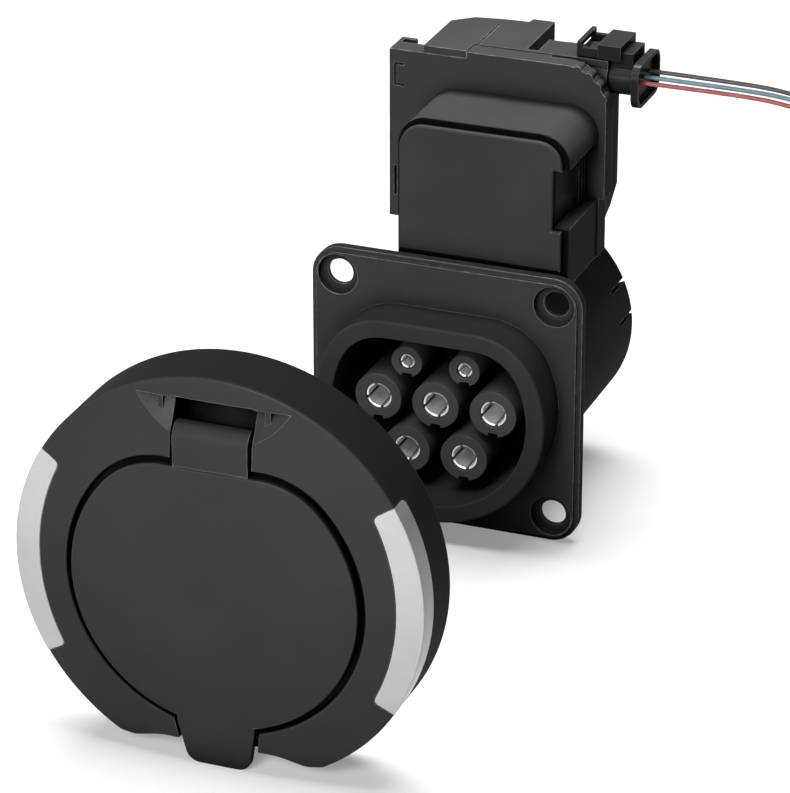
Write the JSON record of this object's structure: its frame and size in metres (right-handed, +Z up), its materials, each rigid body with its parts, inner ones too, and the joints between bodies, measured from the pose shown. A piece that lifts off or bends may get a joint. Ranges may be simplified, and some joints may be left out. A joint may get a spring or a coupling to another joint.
{
  "type": "charging socket inlet",
  "caption": "Square-flange vehicle charging socket with D-shaped collar, locking actuator with plug and leads, and a loose round cover with a sprung hinged lid.",
  "frame": {"origin": "axis of the earth contact on the rear seating face of the flange", "axes": "-Y out of the mating side, +Y through the panel, +Z up towards the locking actuator"},
  "size_m": [0.1639, 0.2151, 0.1255],
  "materials": {
    "housing_black": "fine moulded texture",
    "carrier_black": "satin moulded",
    "contact_silver": "silver plated",
    "plug_black": "satin moulded",
    "pin_brass": "plain",
    "gear_white": "natural",
    "motor_steel": "plated",
    "bolt_steel": "ground",
    "screw_steel": "plated",
    "spring_steel": "drawn",
    "seal_rubber": "matt",
    "board_green": "solder mask",
    "switch_black": "moulded",
    "cover_black": "fine moulded texture",
    "window_light": "translucent, satin",
    "lead_red": "smooth insulation",
    "lead_blue": "smooth insulation",
    "lead_black": "smooth insulation"
  },
  "bodies": {
    "socket": {"socket_housing": "housing_black", "contact_carrier": "carrier_black", "contact_towers": "carrier_black", "contact_retainer": "carrier_black", "rear_cap": "housing_black", "contact_pe": "contact_silver", "contact_n": "contact_silver", "contact_l1": "contact_silver", "contact_l2": "contact_silver", "contact_l3": "contact_silver", "contact_cp": "contact_silver", "contact_pp": "contact_silver", "actuator_case": "housing_black", "actuator_cover": "housing_black", "actuator_frame": "housing_black", "actuator_rear_housing": "housing_black", "plug_housing": "plug_black", "plug_latch": "plug_black", "header_pins": "pin_brass", "motor": "motor_steel", "bolt_guide": "housing_black", "bolt_seal": "seal_rubber", "circuit_board": "board_green", "position_switch": "switch_black", "case_screws": "screw_steel", "saddle_screws": "screw_steel", "cover_ring": "cover_black", "lid_seal": "seal_rubber", "hinge_pin": "screw_steel", "lid_spring": "spring_steel", "threaded_inserts": "pin_brass", "light_window_left": "window_light", "light_window_right": "window_light", "lead_red": "lead_red", "lead_blue": "lead_blue", "lead_black": "lead_black", "lead_red_coil": "lead_red", "lead_blue_coil": "lead_blue", "lead_black_coil": "lead_black"},
    "lid_body": {"lid": "cover_black"},
    "bolt_body": {"locking_bolt": "bolt_steel"},
    "gear_body": {"gear_shaft": "gear_white"},
    "pinion_body": {"motor_pinion": "gear_white"}
  },
  "joints": [
    {"name": "lid_hinge", "type": "hinge", "parent": "socket", "child": "lid_body", "pos_m": [-0.0045, -0.139, 0.0481], "axis": [-1, 0, 0], "range_deg": [0, 95], "stiffness_Nm_per_rad": 0.006, "springref_deg": -28.65, "deforming": ["lid_spring"]},
    {"name": "bolt_slide", "type": "slide", "parent": "socket", "child": "bolt_body", "axis": [0, 0, -1], "range_m": [0, 0.008]},
    {"name": "gear_turn", "type": "hinge", "parent": "socket", "child": "gear_body", "pos_m": [0.008, 0.013, 0.05], "axis": [0, -1, 0], "range_deg": [0, 77]},
    {"name": "motor_turn", "type": "hinge", "parent": "socket", "child": "pinion_body", "pos_m": [-0.00331, 0.024, 0.06131], "axis": [0, 1, 0], "range_deg": [0, 230]}
  ],
  "couplings": [
    {"joint": "gear_turn", "follows": "bolt_slide", "rad_per_m": 166.67},
    {"joint": "motor_turn", "follows": "bolt_slide", "rad_per_m": 500}
  ]
}
